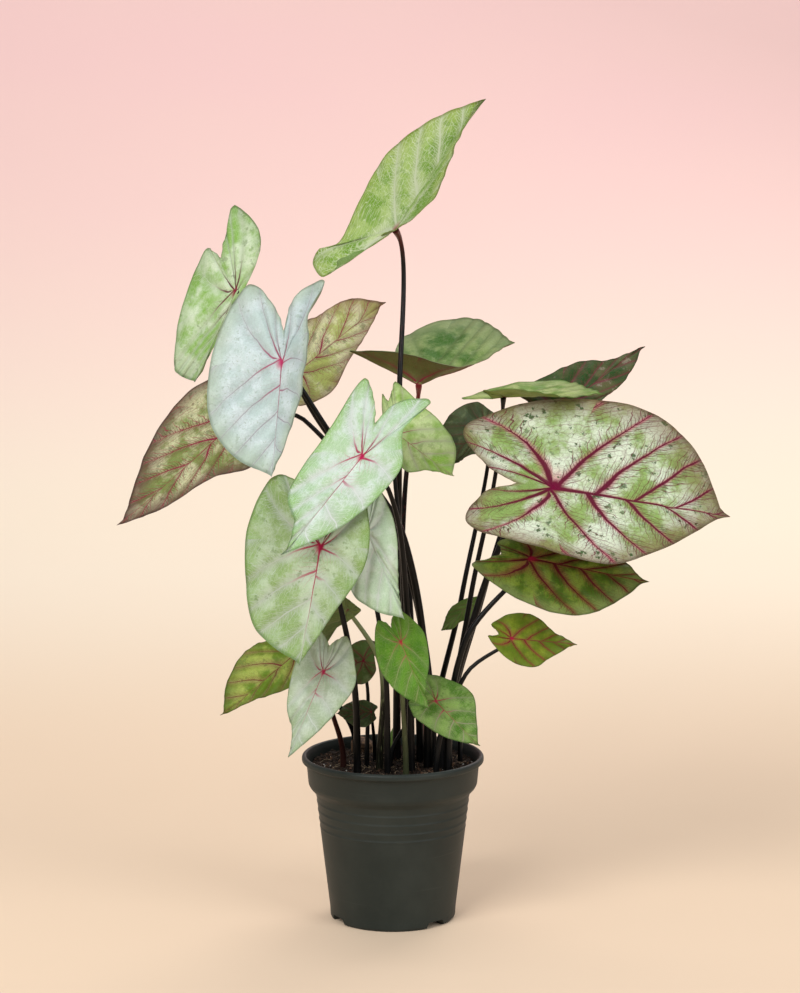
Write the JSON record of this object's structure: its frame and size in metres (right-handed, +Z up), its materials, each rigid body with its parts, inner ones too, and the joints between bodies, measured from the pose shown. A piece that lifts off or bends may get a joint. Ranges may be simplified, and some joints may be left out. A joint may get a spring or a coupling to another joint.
{
  "type": "potted caladium",
  "caption": "Leafy aroid house plant with heart-shaped patterned leaves on long slender stalks, growing from soil in a round tapered nursery pot.",
  "frame": {"origin": "centre of the pot's foot, on the floor", "axes": "+Z up, the most open side of the plant faces -Y"},
  "size_m": [0.4501, 0.2669, 0.6272],
  "materials": {
    "pot": "matte",
    "soil": "rough",
    "leaf_bright": "satin",
    "leaf_streaked": "satin",
    "leaf_white": "satin",
    "leaf_bronze": "satin",
    "leaf_olive": "satin",
    "leaf_pale": "satin",
    "leaf_cream": "satin",
    "leaf_young": "satin",
    "leaf_dark": "satin",
    "leaf_crimson": "satin",
    "leaf_pink": "satin",
    "stalk": "satin",
    "sprout": "satin",
    "sheath": "satin",
    "corm": "rough"
  },
  "bodies": {
    "root": {"pot": "pot", "soil": "soil", "blade_top": "leaf_bright", "stalk_top": "stalk", "blade_upper_left": "leaf_streaked", "stalk_upper_left": "stalk", "blade_white": "leaf_white", "stalk_white": "stalk", "blade_left_back": "leaf_bronze", "stalk_left_back": "stalk", "blade_mid_back": "leaf_olive", "stalk_mid_back": "stalk", "blade_back_cup": "leaf_olive", "stalk_back_cup": "stalk", "blade_centre": "leaf_pale", "stalk_centre": "stalk", "blade_centre_behind": "leaf_cream", "stalk_centre_behind": "stalk", "blade_low_broad": "leaf_pale", "stalk_low_broad": "stalk", "blade_low_hanging": "leaf_cream", "stalk_low_hanging": "stalk", "blade_yellow_left": "leaf_young", "stalk_yellow_left": "stalk", "blade_low_white": "leaf_white", "stalk_low_white": "stalk", "blade_small_back": "leaf_dark", "stalk_small_back": "stalk", "blade_tiny_dark": "leaf_dark", "stalk_tiny_dark": "stalk", "blade_young_green": "leaf_young", "stalk_young_green": "stalk", "blade_low_green": "leaf_dark", "stalk_low_green": "stalk", "blade_big_right": "leaf_crimson", "stalk_big_right": "stalk", "blade_pink_right": "leaf_pink", "stalk_pink_right": "stalk", "blade_edge_right": "leaf_young", "stalk_edge_right": "stalk", "blade_right_mid": "leaf_crimson", "stalk_right_mid": "stalk", "blade_right_small": "leaf_young", "stalk_right_small": "stalk", "blade_dark_back": "leaf_dark", "stalk_dark_back": "stalk", "blade_stalk_side": "leaf_young", "stalk_stalk_side": "stalk", "blade_olive_low": "leaf_olive", "stalk_olive_low": "stalk", "sprout": "sprout", "sheath": "sheath", "corm": "corm"}
  },
  "joints": []
}
